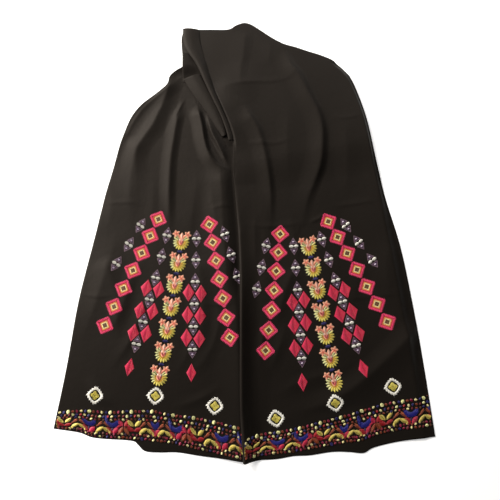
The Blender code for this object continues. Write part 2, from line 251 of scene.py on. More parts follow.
# Shapes of the cloth
def smooth(t):
    """0 below 0, 1 above 1, with level ends."""
    t = np.clip(t, 0.0, 1.0)
    return t * t * (3.0 - 2.0 * t)


def even(cells):
    """Evenly spaced shares from 0 to 1, one more than there are cells."""
    return np.linspace(0, 1, cells + 1)


def along(points, shares):
    """Points of a smooth curve through the given ones, at these shares of its length."""
    p = np.array(points, float)
    p = np.vstack([2 * p[0] - p[1], p, 2 * p[-1] - p[-2]])
    fine = []
    for a, b, c, d in zip(p[:-3], p[1:-2], p[2:-1], p[3:]):
        for t in np.linspace(0, 1, CURVE_STEPS, endpoint=False):
            fine.append(0.5 * (2 * b + (c - a) * t + (2 * a - 5 * b + 4 * c - d) * t ** 2
                               + (3 * b - a - 3 * c + d) * t ** 3))
    fine = np.array(fine + [p[-2]])
    run = np.concatenate([[0], np.cumsum(np.linalg.norm(np.diff(fine, axis=0), axis=1))])
    want = np.asarray(shares) * run[-1]
    return np.stack([np.interp(want, run, fine[:, k]) for k in (0, 1)], axis=-1)


def patch(hem, top, left, right, u, up):
    """Plan points of a panel between its four outlines, at the shares u of its width."""
    v = even(up)
    low, high = along(hem, u)[None], along(top, u)[None]
    side_l, side_r = along(left, v)[:, None], along(right, v)[:, None]
    u, v = u[None, :, None], v[:, None, None]
    corners = ((1 - u) * (1 - v) * low[:, :1] + u * (1 - v) * low[:, -1:]
               + (1 - u) * v * high[:, :1] + u * v * high[:, -1:])
    return (1 - v) * low + v * high + (1 - u) * side_l + u * side_r - corners


def nearest(plan, line):
    """For each plan point: distance to a line, side of it (+1 right), share along it."""
    path = along(line, np.linspace(0, 1, LINE_STEPS))
    start, step = path[:-1], np.diff(path, axis=0)
    best = np.full(plan.shape[:-1], np.inf)
    side, share = np.zeros_like(best), np.zeros_like(best)
    for k, (a, d) in enumerate(zip(start, step)):
        offset = plan - a
        t = np.clip(offset @ d / (d @ d), 0, 1)
        away = offset - t[..., None] * d
        far = np.hypot(away[..., 0], away[..., 1])
        closer = far < best
        best = np.where(closer, far, best)
        side = np.where(closer, np.sign(away[..., 0] * d[1] - away[..., 1] * d[0]), side)
        share = np.where(closer, (k + t) / len(step), share)
    return best, side, share


def folds_height(plan, folds, end=FOLD_END, ramps=FOLD_RAMPS):
    """Added height of all folds at each plan point, level at the edge of their reach."""
    total = np.zeros(plan.shape[:-1])
    for height, reach_left, reach_right, *crest in folds:
        margin = max(reach_left, reach_right)
        near = ((plan > np.min(crest, axis=0) - margin)
                & (plan < np.max(crest, axis=0) + margin)).all(-1)
        if not near.any():
            continue
        far, side, share = nearest(plan[near], crest)
        reach = np.where(side > 0, reach_right, reach_left)
        crest_round = CREST_ROUND * np.clip(reach / WIDE_REACH, 0, 1)
        far = np.hypot(far, crest_round) - crest_round
        across = np.clip(1 - far / reach, 0, 1) ** FOLD_FLARE
        ends = end + (1 - end) * smooth(share / ramps[0]) * smooth((1 - share) / ramps[1])
        total[near] += height * across * ends
    return total


def swell(plan):
    """Slow uneven rise of cloth that was folded and laid down, never below the floor."""
    x, y = plan[..., 0], plan[..., 1]
    one_way = np.sin(x / WAVES[0] + 0.8 * np.sin(y / BENDS[0]))
    other_way = np.sin(y / WAVES[1] + 1.3 * np.sin(x / BENDS[1] + 1))
    ripple = np.sin(x / RIPPLES[0] + y / RIPPLES[1] + 1.2 * np.sin(y / RIPPLES[2]))
    return SWELL * np.clip(one_way * other_way + 0.6 * ripple + SWELL_LEVEL, 0, None)


def turn_height(plan, turn):
    """Added height beside a long edge, where the cloth turns under."""
    line, radius = turn
    far, _, share = nearest(plan, line)
    return 2 * radius * np.clip(1 - far / TURN_REACH, 0, 1) ** 2 * smooth(share / TURN_RISE)


def seam_dip(plan):
    """Share of its height that the left tail loses at the right tail's inner edge."""
    far, side, _ = nearest(plan, RIGHT_INNER)
    near = (1 - np.clip((far - DIP_CLEAR) / DIP_REACH, 0, 1)) ** DIP_ROUND
    y = plan[..., 1]
    ends = smooth((y - DIP_LOW) / DIP_FADE) * smooth((DIP_HIGH - y) / DIP_FADE)
    return np.where(side > 0, 1.0, near) * ends


def left_seat(plan):
    """Height of the left tail without its creases, on which the neck's strip lies."""
    return FLOOR + folds_height(plan, LEFT_FOLDS) * (1 - seam_dip(plan))


def left_height(plan):
    small = folds_height(plan, LEFT_CREASES, 0, CREASE_RAMPS) + swell(plan)
    return left_seat(plan) + small * (1 - seam_dip(plan)) + turn_height(plan, LEFT_TURN)


def right_height(plan):
    """The right tail rides over the left one and over the hidden layers of the neck."""
    x, y = plan[..., 0], plan[..., 1]
    hidden = np.array(LEFT_INNER, float)
    hidden_edge = np.interp(y, hidden[:, 1], hidden[:, 0])
    beyond = smooth((x - hidden_edge - HIDDEN_EDGE_CLEAR) / HIDDEN_EDGE_RAMP)
    over = (left_height(plan) - FLOOR + OVER_TAIL) * (1 - beyond)
    layers_end = LAYERS_END + LAYERS_SLANT * np.clip(x, 0, None)
    neck = OVER_BACK * smooth((y - layers_end + NECK_RAMP + NECK_RAMP_CLEAR) / NECK_RAMP)
    far, _, _ = nearest(plan, RIGHT_OUTER)
    shoulder = 1 - (1 - smooth(far / SHOULDER_RAMP)) * smooth((SHOULDER_TOP - y) / SHOULDER_FADE)
    small = folds_height(plan, RIGHT_CREASES, 0, CREASE_RAMPS) + swell(plan + RIGHT_SWELL_SHIFT)
    return (FLOOR + np.maximum(over, neck * shoulder) + small
            + folds_height(plan, RIGHT_FOLDS) * shoulder + turn_height(plan, RIGHT_TURN))


def left_level(plan):
    """Middle of the shown cloth, whose underside lies where the CAD wall's does."""
    return left_height(plan) - FLOOR + SILK / 2


def right_level(plan):
    return right_height(plan) - FLOOR + SILK / 2


def raised(plan, height):
    return np.concatenate([plan, height[..., None]], axis=-1)


def turned_under(middle, flap=9.0, low=1.0, steps=5):
    """The grid with its last row carried round a half circle and back underneath."""
    edge, inner = middle[-1], middle[-3]
    out = (edge - inner)[:, :2]
    out /= np.linalg.norm(out, axis=1, keepdims=True)
    radius = np.clip((edge[:, 2] - low) / 2, LEAST_TURN, None)
    rows = []
    for angle in np.linspace(0, math.pi, steps + 1)[1:]:
        reach = radius * math.sin(angle)
        drop = radius * (1 - math.cos(angle))
        rows.append(np.c_[edge[:, :2] + out * reach[:, None], edge[:, 2] - drop])
    last = rows[-1]
    rows.append(np.c_[last[:, :2] - out * flap, last[:, 2]])
    return np.concatenate([middle, np.array(rows)])


def wall(middle, thick=SILK):
    """A closed wall of cloth round a grid of middle points: vertices and faces."""
    normal = np.cross(np.gradient(middle, axis=1), np.gradient(middle, axis=0))
    normal /= np.linalg.norm(normal, axis=-1, keepdims=True)
    top, under = middle + normal * thick / 2, middle - normal * thick / 2
    rows, cols = middle.shape[:2]
    at = np.arange(rows * cols).reshape(rows, cols)
    below = at + rows * cols
    quads = [np.stack([at[:-1, :-1], at[:-1, 1:], at[1:, 1:], at[1:, :-1]], -1),
             np.stack([below[:-1, :-1], below[1:, :-1], below[1:, 1:], below[:-1, 1:]], -1)]
    rim = np.concatenate([at[0, :], at[1:, -1], at[-1, -2::-1], at[-2:0:-1, 0]])
    ahead = np.roll(rim, -1)
    sides = np.stack([rim + rows * cols, ahead + rows * cols, ahead, rim], -1)
    faces = np.concatenate([q.reshape(-1, 4) for q in quads] + [sides])
    return np.concatenate([top.reshape(-1, 3), under.reshape(-1, 3)]), faces.tolist()


# Making objects
def linked(name, data):
    """A new object of the scene with this data."""
    thing = bpy.data.objects.new(name, data)
    bpy.context.scene.collection.objects.link(thing)
    return thing


def add(name, points, faces, materials, slot, which=None):
    """A piece on the root body; which gives each face's material."""
    mesh = bpy.data.meshes.new(name)
    mesh.from_pydata((points * MM).tolist(), [], faces)
    for material in materials:
        mesh.materials.append(material)
    if which is not None:
        mesh.polygons.foreach_set("material_index", np.asarray(which, np.int32))
    mesh.shade_smooth()
    piece = linked(name, mesh)
    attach(piece, "root")
    return piece


def add_silk(name, middle):
    return add(name, *wall(middle), [SILK_MATERIAL], "silk")


# Materials: colours, scale and detail of the noise between them, shader values, and reliefs of
# noise, each with its scale, detail, strength and distance
SILK_DARK = (0.0076, 0.0060, 0.0048)
SILK_LIGHT = (0.0102, 0.0081, 0.0065)
SILK_DYE = (5.0, 4.0)
SILK_FINISH = {"Roughness": 0.56, "Specular IOR Level": 0.11,
               "Specular Tint": (1.0, 0.88, 0.76, 1), "Sheen Weight": 0.04,
               "Sheen Roughness": 0.42, "Sheen Tint": (0.86, 0.78, 0.70, 1)}
SILK_WEAVE = (2300.0, 2.0, 0.35, 0.0001)
SILK_RUMPLES = (90.0, 3.0, 0.30, 0.0012)
THREAD_SHADES = (0.70, 1.12)  # darkest and lightest share of a thread's colour
THREAD_SPECKLE = (420.0, 2.0)
THREAD_FINISH = {"Roughness": 0.42, "Sheen Weight": 0.08, "Sheen Roughness": 0.35}
THREAD_TWIST = (5200.0, 1.0, 0.4, 0.0001)


def nodes_of(name):
    """A new material with its nodes and links."""
    material = bpy.data.materials.new(name)
    material.use_nodes = True
    return material, material.node_tree.nodes, material.node_tree.links


def set_inputs(node, values):
    for socket, value in values.items():
        node.inputs[socket].default_value = value


def noise(nodes, links, place, scale, detail):
    texture = nodes.new("ShaderNodeTexNoise")
    set_inputs(texture, {"Scale": scale, "Detail": detail})
    links.new(place, texture.inputs["Vector"])
    return texture.outputs[0]


def cloth_material(name, dark, light, speckle, finish, reliefs):
    """Silk or thread, uneven in its colour, each relief added to the one before."""
    material, nodes, links = nodes_of(name)
    shader = nodes["Principled BSDF"]
    set_inputs(shader, finish)
    place = nodes.new("ShaderNodeTexCoord").outputs["Object"]
    uneven = noise(nodes, links, place, *speckle)
    mix = nodes.new("ShaderNodeMix")
    mix.data_type = "RGBA"
    set_inputs(mix, {6: (*dark, 1), 7: (*light, 1)})
    links.new(uneven, mix.inputs[0])
    links.new(mix.outputs[2], shader.inputs["Base Color"])
    normal = shader.inputs["Normal"]
    for scale, detail, strength, distance in reversed(reliefs):
        height = noise(nodes, links, place, scale, detail)
        relief = nodes.new("ShaderNodeBump")
        set_inputs(relief, {"Strength": strength, "Distance": distance})
        links.new(height, relief.inputs["Height"])
        links.new(relief.outputs[0], normal)
        normal = relief.inputs["Normal"]
    return material


def thread_material(name, colour):
    dark, light = [[min(1.0, c * share) for c in colour] for share in THREAD_SHADES]
    return cloth_material("thread_" + name, dark, light, THREAD_SPECKLE, THREAD_FINISH,
                          [THREAD_TWIST])


def shade(red, green, blue):
    """Linear colour of 8-bit display values."""
    return tuple((c / 255) ** 2.2 for c in (red, green, blue))


# Threads: display colours of 8 bits a channel; lemon also serves as a painted highlight and the
# darker straw yellow as painted shade on the palmettes' fans
THREADS = {
    "pink": (226, 58, 104), "rose": (212, 42, 82), "crimson": (192, 32, 64),
    "scarlet": (220, 58, 66), "apricot": (238, 158, 74), "cream": (255, 234, 168),
    "ivory": (255, 248, 234), "umber": (112, 78, 44), "brown": (64, 38, 22),
    "maroon": (150, 34, 68), "purple": (64, 40, 70), "mauve": (128, 102, 114),
    "lilac": (240, 222, 240), "coral": (232, 106, 84), "peach": (250, 180, 148),
    "blush": (255, 222, 212), "yellow": (240, 224, 108), "lemon": (255, 250, 176),
    "painted_shade_straw": (222, 206, 98), "gold": (186, 142, 44), "moss": (150, 138, 44),
    "navy": (48, 44, 104), "cobalt": (38, 38, 124), "wine": (116, 32, 44),
    "rust": (140, 66, 42), "brick": (180, 94, 56), "red": (168, 36, 44),
    "cerise": (184, 40, 70), "bark": (92, 52, 32), "butter": (226, 206, 108),
}
COLOURS = list(THREADS)

# Stitches: each is a thin ridge of thread with its two ends sunk in the cloth
PITCH = 0.95  # between neighbouring threads
THREAD = 1.02  # width of a thread on the cloth
RISE = 0.42  # height of a thread above the cloth
SHORTEST = 0.5  # threads shorter than this are left out
SHORTEST_LAID = 0.4  # the same on the cloth, whose folds shorten some
TEETH = 4  # threads in each tooth of a jagged edge
FAN_TEETH = 6
SUNK = 0.03  # how far a thread's ends lie in the cloth
CLEAR = 0.02  # how far its sides lie above the cloth
SLOPE = 0.22  # share of a thread's length over which it rises, and the limits
SLOPE_LIMITS = (0.1, 0.9)
THREAD_WIDTHS = (0.86, 1.08)
THREAD_RISES = (0.85, 1.15)
EDGE_CLEAR = 1.5  # least distance from a stitch to the tail's edge
COVERED_FROM = 5.0  # from here inwards the right tail hides the left one's stitches


class Work:
    """Stitches of one motif after another, their rises as shares of one thread's.

    Those with a centre keep their shape on the cloth.
    """

    def __init__(self):
        self.threads = []
        self.centre = (math.nan, math.nan)

    def add(self, line, colour, rise):
        self.threads.append((line, self.centre, COLOURS.index(colour), rise))

    def satin(self, outline, angle, colour, rise=1.0, pitch=PITCH, teeth=0.0, dome=0.0):
        """Fills an outline with parallel threads; dome raises the long ones further."""
        points = turned(outline, -angle)
        low, high = points[:, 1].min(), points[:, 1].max()
        count = max(1, int(round((high - low) / pitch)))
        step = (high - low) / count
        following = np.roll(points, -1, axis=0)
        longest = np.ptp(points[:, 0])
        for k in range(count):
            level = low + (k + 0.5) * step
            crossing = (points[:, 1] > level) != (following[:, 1] > level)
            a, b = points[crossing], following[crossing]
            hits = np.sort(a[:, 0] + (level - a[:, 1]) / (b[:, 1] - a[:, 1]) * (b[:, 0] - a[:, 0]))
            for start, end in zip(hits[::2], hits[1::2]):
                if end - start < SHORTEST:
                    continue
                end += teeth * (k % TEETH) / (TEETH - 1)
                lift = dome * math.sqrt((end - start) / longest)
                line = turned([(start, level), (end, level)], angle)
                self.add(line, colour, RISE * rise + lift)

    def fan(self, x, y, inner, outer, first, last, colour, rise=1.0, teeth=0.0):
        """Threads laid outwards round a centre, between two radii, angles in degrees."""
        first, last = first * DEG, last * DEG
        middle = (radius_at(inner, first) + radius_at(outer, first)) / 2
        count = int((last - first) * middle / PITCH)
        for k in range(count):
            a = first + (last - first) * (k + 0.5) / count
            out = heading(a)
            reach = radius_at(outer, a) + teeth * (k % FAN_TEETH) / (FAN_TEETH - 1)
            line = np.array([out * radius_at(inner, a), out * reach]) + (x, y)
            self.add(line, colour, RISE * rise)

    def placed(self, put, turn):
        """Ends in the plan, where put(points) carries points there, with colours and rises."""
        ends, centres, colour, rise = [np.array(part) for part in zip(*self.threads)]
        bent = put(ends.reshape(-1, 2)).reshape(ends.shape)
        kept = put(np.nan_to_num(centres))[:, None] + turned(ends - centres[:, None], turn)
        return np.where(np.isnan(centres)[:, None], bent, kept), colour, rise


def heading(angle):
    return np.array([math.cos(angle), math.sin(angle)])


def radius_at(shape, angle):
    """Radius of a circle, or of a rounded diamond given as its half width and roundness."""
    if not isinstance(shape, tuple):
        return shape
    half, power = shape
    return half / (abs(math.cos(angle)) ** power + abs(math.sin(angle)) ** power) ** (1 / power)


def turned(points, angle, x=0.0, y=0.0):
    """The points turned round 0, 0 and then moved to x, y."""
    c, s = math.cos(angle), math.sin(angle)
    return np.asarray(points, float) @ np.array([[c, s], [-s, c]]) + (x, y)


def ellipse(x, y, wide, tall, angle=0.0, count=14):
    t = np.arange(count) * 2 * math.pi / count
    return turned(np.c_[np.cos(t) * wide / 2, np.sin(t) * tall / 2], angle, x, y)


def leaf(x, y, length, wide, angle):
    """Pointed oval with its long axis at this angle."""
    t = np.linspace(-1, 1, 8)
    half = wide / 2 * (1 - t ** 2) ** 0.8
    edge = np.r_[np.c_[t * length / 2, half], np.c_[t[-2:0:-1] * length / 2, -half[-2:0:-1]]]
    return turned(edge, angle, x, y)


# Leaves of the motifs, the border's measured from its top row: place, length, width, angle in
# degrees, turn towards its side, colour, rise, dome
PALMETTE_CUP = (
    (12.4, 2.2, 14, 4.4, 90, -66, "lemon", 1.0, 0.7),
    (10.6, 4.6, 13, 2.2, 90, -54, "brown", 1.0, 0.5),
    (9.0, 5.0, 14, 3.8, 90, -44, "lemon", 1.4, 0.5),
    (7.6, 3.0, 13, 2.0, 90, -36, "brown", 1.6, 0.5),
)
PALMETTE_PETALS = ((5.6, 8.0, 15, 6.4, 90, -34, "peach", 1.2, 0.5),
                   (5.2, 7.4, 11, 2.4, 90, -34, "coral", 2.6, 0.2))
PALMETTE_BUD = ((0, 9.6, 17, 9.6, 90, 0, "peach", 1.8, 0.5),
                (0, 10.6, 12, 4.6, 90, 0, "blush", 3.4, 0.3))
PALMETTE_HEART = ((2.5, 0.2, 10.5, 5.0, 90, -24, "cerise", 3.6, 0.2),)
ARCH_LEAVES = (
    (-7.6, -43.8, 21, 10.0, 38, 0, "butter", 1.8, 0.5),
    (8.6, -44.6, 22, 10.0, -32, 0, "butter", 1.8, 0.5),
    (-13.6, -50.4, 9, 6.2, 98, 0, "butter", 1.8, 0.5),
    (-6.4, -45.2, 13, 2.6, 38, 0, "moss", 3.2, 0.2),
    (7.4, -46.0, 13, 2.6, -32, 0, "moss", 3.2, 0.2),
)
ARCH_ROOF = ((8.4, -32.0, 19, 6.0, 0, -34, "rust", 1.0, 0.5),
             (6.4, -27.0, 12, 4.0, 0, -40, "brick", 1.0, 0.5))
BOWL_ARM = ((-12.6, -19, 25, 9.0, 98, 0, "cobalt", 1.5, 0.5),)
RUST_PETALS = ((6.4, -46, 22, 10.4, 0, -60, "rust", 1.3, 0.5),
               (6.4, -46, 14, 3.2, 0, -60, "brick", 2.4, 0.2))
VEE_LEAVES = (
    (8.6, -28.0, 21, 10.2, 0, 47, "butter", 1.8, 0.5),
    (8.6, -27.4, 13, 3.0, 0, 47, "moss", 3.2, 0.0),
    (8.0, -42.5, 18, 11.0, 0, 24, "red", 1.2, 0.5),
)


# Motifs, each charted in millimetres round its own middle
def square_block(work, x, y, angle=0.0):
    """Pink square on its corner, a cream star inside, a four-lobed eye."""
    work.centre = (x, y)
    corners = turned([(1, 0), (0, 1), (-1, 0), (0, -1)], angle)
    rings = ((21.4, 14.8, "pink", 2.3), (15.0, 12.6, "scarlet", 0.0),
             (12.8, 9.8, "apricot", 0.0), (10.0, 6.4, "cream", 0.0))
    for outer, inner, colour, teeth in rings:
        for k in range(4):
            a, b = corners[k], corners[(k + 1) % 4]
            side = np.array([a * inner, a * outer, b * outer, b * inner]) + (x, y)
            across = math.atan2(*(a + b)[::-1])
            work.satin(side, across, colour, teeth=teeth)
    work.satin(corners * 6.8 + (x, y), angle, "umber", 0.8)
    for k in range(4):
        lobe = corners[k] * 3.2 + (x, y)
        work.satin(ellipse(*lobe, 4.0, 4.0), angle + (45 + 90 * (k % 2)) * DEG, "brown", 1.4)


def eye_diamond(work, x, y, angle, oval_angle=None):
    """Purple diamond in two triangles with two ivory ovals across its waist."""
    work.centre = (x, y)
    for up in (1, -1):
        outer = np.array([(-9.8, 5.4), (0, 20.8), (9.8, 5.4)]) * (1, up)
        inner = np.array([(-7.4, 6.8), (0, 18.0), (7.4, 6.8)]) * (1, up)
        for k in range(3):
            j = (k + 1) % 3
            rim = turned([outer[k], outer[j], inner[j], inner[k]], angle, x, y)
            run = turned([outer[j] - outer[k]], angle)[0]
            work.satin(rim, math.atan2(run[1], run[0]) + math.pi / 2, "mauve", pitch=0.8)
        work.satin(turned(inner, angle, x, y), angle, "purple", 0.8)
        work.satin(ellipse(*turned([(0, 10.8 * up)], angle, x, y)[0], 4.6, 4.8), angle + ACROSS,
                   "lilac", 1.5, dome=0.8)
    slope = angle if oval_angle is None else oval_angle
    for side in (1, -1):
        centre = turned([(5.6 * side, 0)], slope, x, y)[0]
        work.satin(ellipse(*centre, 10.2, 8.6, slope), slope + ACROSS, "ivory", dome=1.2)


def rhombus(work, x, y, angle, half_wide=14.0, half_tall=21.0):
    """Crimson rhombus, its threads slanting off a line down its middle."""
    work.centre = (x, y)
    for side, colour in ((-1, "rose"), (1, "crimson")):
        half = turned([(0, half_tall), (0, -half_tall), (half_wide * side, 0)], angle, x, y)
        work.satin(half, angle + side * 38 * DEG, colour)
    rib = turned([(-0.8, 17), (0.8, 17), (0.8, -17), (-0.8, -17)], angle, x, y)
    work.satin(rib, angle + 70 * DEG, "crimson", 1.1, pitch=1.2)


def filled_leaf(work, x, y, length, wide, degrees, colour, rise=1.0, dome=0.5):
    """A leaf stitched straight across."""
    outline = leaf(x, y, length, wide, degrees * DEG)
    work.satin(outline, (degrees + 90) * DEG, colour, rise, dome=dome)


def leaves(work, x, y, rows, side=1):
    """Leaves of a table, mirrored where side is -1."""
    for dx, dy, length, wide, angle, turn, *thread in rows:
        filled_leaf(work, x + dx * side, y + dy, length, wide, angle + turn * side, *thread)


def palmette_flower(work, x, y, lean):
    """Five peach petals round a coral heart."""
    for k in range(5):
        degrees = 90 + lean + k * 72
        out = heading(degrees * DEG)
        filled_leaf(work, *out * 5.0 + (x, y), 8.8, 7.0, degrees, "peach")
        filled_leaf(work, *out * 3.2 + (x, y), 5.6, 3.2, degrees, "coral", 2.2, 0.2)
    work.satin(ellipse(x, y, 4.4, 4.4), 0.6, "coral", 2.6)


def palmette(work, x, y):
    """Yellow fan of petals under a peach bud, curved leaves and two flowers; the fan's petals
    carry a painted highlight on the left and painted shade on the right.
    """
    work.centre = (x, y)
    heart = y - 5.0
    work.fan(x, heart, 5.5, 13.5, -212, 32, "gold")
    for k in range(12):
        degrees = -206 + k * 232 / 11
        centre = heading(degrees * DEG) * 14.4 + (x, heart)
        # Painted light: the petals go from lemon on the left through yellow to a darker straw
        # yellow on the right, a painted highlight and painted shade for light from the left
        colour = ("lemon", "yellow", "painted_shade_straw")[k // 4]
        filled_leaf(work, *centre, 10.4, 5.6, degrees, colour, dome=0.8)
    for side in (-1, 1):
        leaves(work, x, y, PALMETTE_CUP, side)
        palmette_flower(work, x + 13.4 * side, y + 13.6, -24 * side)
        leaves(work, x, y, PALMETTE_PETALS, side)
    leaves(work, x, y, PALMETTE_BUD)
    work.satin(ellipse(x, heart + 1.0, 13.0, 16.0), 0.0, "peach", 1.6, dome=0.5)
    for side in (-1, 1):
        work.satin(ellipse(x + 3.7 * side, heart + 5.2, 5.2, 6.4), 0.5 * side, "blush", 3.0)
        leaves(work, x, heart, PALMETTE_HEART, side)
    work.satin(ellipse(x, heart - 4.2, 6.2, 5.4), 0.0, "coral", 3.0)


def white_diamond(work, x, y):
    """Jagged ivory ring on its corner round a yellow four-lobed centre."""
    work.centre = (x, y)
    work.fan(x, y, (12.6, 1.36), (19.2, 1.2), 0, 360, "ivory", 1.5, teeth=2.6)
    turns = np.linspace(0, 2 * math.pi, 32, endpoint=False)
    reach = 8.9 + 1.5 * np.cos(4 * turns)
    lobes = np.c_[reach * np.cos(turns), reach * np.sin(turns)] + (x, y)
    work.satin(lobes, 0.8, "yellow", dome=0.7)
    for degrees in (45, 135):
        filled_leaf(work, x, y, 8.0, 2.0, degrees, "moss", 2.8, 0.2)


# The motif field in its own frame, the first palmette at 0, 0 and the neck towards +y.
# Chains on the right side, mirrored to the left: first place, step to the next, how many
SQUARES = ((63.2, 48.3), (13.4, -41.1), 7)
OUTER_EYES = ((104.1, 34.0), (20.4, -44.3), 3)
INNER_EYES = ((36.2, 8.4), (5.5, -51.2), 6)
RHOMBUS_ROWS = (2, 3, 4)  # inner eyes with a pair of rhombuses below them
RHOMBUS_OUT = 14.8
LAST_RHOMBUS = 11.6  # half width of the rhombus that ends an inner chain
SQUARE_SLANT = 16.5 * DEG
OVAL_SLANT = 1.12  # the outer eyes' ovals slant a little more than their chain
PALMETTES = 7
PALMETTE_STEP = 52.5
KNOT_DROP = 28.2  # from a palmette's middle down to the navy knot below it
KNOT_SIZE = (12.8, 7.4)
LEFT_WHITES = ((-131.7, -357.0), (0.0, -361.5), (131.7, -357.0))
RIGHT_WHITES = ((-137.5, -353.3), (-4.5, -362.6), (125.7, -344.0))


def chain(side, first, step, count):
    """Middles of a chain's motifs."""
    return [(side * (first[0] + k * step[0]), first[1] + k * step[1]) for k in range(count)]


def slant_of(side, step):
    return side * math.atan2(step[0], -step[1])


def inner_chain(work, side):
    """Eyed diamonds with pairs of rhombuses between the lower ones, and one at the end."""
    first, step, count = INNER_EYES
    slant = slant_of(side, step)
    spots = chain(side, first, step, count + 1)
    for k, (x, y) in enumerate(spots[:-1]):
        eye_diamond(work, x, y, slant)
        if k in RHOMBUS_ROWS:
            for out in (-1, 1):
                middle = (x + side * step[0] / 2, y + step[1] / 2)
                rhombus(work, *turned([(RHOMBUS_OUT * out, 0)], slant, *middle)[0], slant)
    rhombus(work, *spots[-1], slant, LAST_RHOMBUS)


def motif_field(whites):
    """All motifs of one tail, with the places of its white diamonds."""
    work = Work()
    for side in (-1, 1):
        for spot in chain(side, *SQUARES):
            square_block(work, *spot, side * SQUARE_SLANT)
        slant = slant_of(side, OUTER_EYES[1])
        for spot in chain(side, *OUTER_EYES):
            eye_diamond(work, *spot, slant, slant * OVAL_SLANT)
        inner_chain(work, side)
    for spot in whites:
        white_diamond(work, *spot)
    for k in range(PALMETTES):
        palmette(work, 0.0, -PALMETTE_STEP * k)
        if k:
            work.centre = (0.0, -PALMETTE_STEP * (k - 1) - KNOT_DROP)
            work.satin(ellipse(*work.centre, *KNOT_SIZE), ACROSS, "navy", dome=0.6)
    return work


# How the field lies on each tail: place of its middle, turn, and how folds push and bend it
FIELD_MIDDLE = 180.0  # from the first palmette down to the middle
CURL = 0.000062  # the upper motifs lean away over the swell of the cloth
FIELD = ("x", "y", "turn", "wider", "lean", "bow", "fan", "sag", "skew", "tilt")
LEFT_FIELD = (-172.9, -200.0, -0.111, 0.005, 0.033, -0.6, -1.6, -8.4, -0.6, 0.016)
RIGHT_FIELD = (182.8, -212.1, 0.185, -0.006, 0.020, -0.9, -2.6, -7.8, 0.9, 0.046)


def field_to_plan(field):
    """Carries points of the field to the plan; bow, fan, sag and skew are per 100 mm."""
    at = dict(zip(FIELD, field))

    def put(points):
        x, y = points[:, 0], points[:, 1] + FIELD_MIDDLE
        u = (x * (1 + at["wider"]) + at["lean"] * y + at["bow"] * (y / 100) ** 2
             + at["fan"] * (x / 100) * (y / 100))
        v = (y - CURL * np.clip(y, 0, None) ** 2 + at["sag"] * (x / 100) ** 2
             + at["skew"] * (x / 100) * (y / 100) + at["tilt"] * x)
        return turned(np.c_[u, v], at["turn"], at["x"], at["y"])
    return put


# The border: its top row of dots and its lowest row, left to right, in plan
LEFT_BORDER = (
    ((-423, -416), (-368, -412), (-312, -415), (-247, -413), (-202, -414), (-166, -421),
     (-129, -425), (-77, -434), (-16, -447), (2, -451)),
    ((-420, -452), (-367, -456), (-341, -465), (-310, -467), (-250, -470), (-201, -475),
     (-155, -480), (-121, -488), (-16, -509), (4, -513)),
)
RIGHT_BORDER = (
    ((2, -469), (13, -467), (57, -460), (73, -459), (124, -449), (170, -437), (215, -426),
     (268, -411), (313, -399), (357, -390), (430, -379)),
    ((2, -506), (39, -505), (80, -500), (100, -499), (156, -489), (196, -483), (236, -476),
     (259, -474), (297, -461), (337, -452), (381, -446), (430, -440)),
)
BORDER_DEEP = 62.0  # from the top row of dots to the lowest, on the flat cloth
BORDER_LONG = 427.0
REPEATS = (-283.0, 17.0, 317.0)  # where each repeat starts

# Places of the shapes in the repeat
ARCHES = (31.0, 87.5, 185.0, 226.0)
BOWL, NARROW_BOWL = 55.5, 204.0
ARMED_BOWLS = (108.5, 251.0)
PETALS = (134.0, 277.0)
VEES = (0.0, 157.5)
BOWL_WIDE, ARMED_WIDE, NARROW_WIDE = 14.5, 13.5, 8.5

# Rows of dots: depth, spacing, start, sizes, colours
DOT_ROWS = (
    (0.0, 9.4, 8, (6.2, 6.4, 8.8, 6.6, 6.4), ("cream", "navy", "lemon", "rust", "maroon")),
    (11.0, 8.7, 2, (6.2, 5.8, 5.8, 5.6, 6.8, 5.6, 6.0),
     ("cream", "navy", "rust", "wine", "lemon", "navy", "red")),
    (19.0, 9.0, 6, (6.0, 5.2, 5.2, 5.2),
     ("cream", "wine", "rust", "bark", "navy", "cream", "red", "wine")),
    (54.5, 8.4, 4, (5.6, 5.2, 5.6),
     ("wine", "maroon", "rust", "cream", "purple", "bark", "maroon")),
    (62.0, 8.6, 3, (5.6, 5.4, 7.4, 5.6, 5.8),
     ("rust", "wine", "lemon", "bark", "navy", "maroon", "wine", "cream", "rust")),
)
DOT_STRAY = 0.7  # how far a dot lies from its place
DOTS_END = 3  # least distance from a dot to the border's end


def border_to_plan(rows):
    """Carries points of the flat border to the plan, between its top and lowest rows."""
    top, low = rows

    def put(points):
        share = np.clip(points[:, 0] / BORDER_LONG, 0, 1)
        a, b = along(top, share), along(low, share)
        return a + (b - a) * (-points[:, 1] / BORDER_DEEP)[:, None]
    return put


def row_of_dots(work, depth, pitch, start, sizes, colours):
    x, k = start, 0
    while x < BORDER_LONG - DOTS_END:
        size = sizes[k % len(sizes)]
        work.centre = tuple(rng.uniform(-DOT_STRAY, DOT_STRAY, 2) + (x, -depth))
        work.satin(ellipse(*work.centre, size, size), rng.uniform(0, 3.1),
                   colours[k % len(colours)], 1.8, dome=0.9)
        x += pitch
        k += 1
    work.centre = (math.nan, math.nan)


def arch(work, x):
    """Yellow arch of two leaves and a foot, under a brown roof."""
    leaves(work, x, 0, ARCH_LEAVES)
    work.satin(ellipse(x + 15.4, -51.0, 6.0, 6.0), 0.0, "butter", 2.0, dome=0.6)
    for side in (-1, 1):
        leaves(work, x, 0, ARCH_ROOF, side)
    work.satin(ellipse(x + 0.5, -54.0, 6.0, 6.0), 0.4, "wine", 1.2)


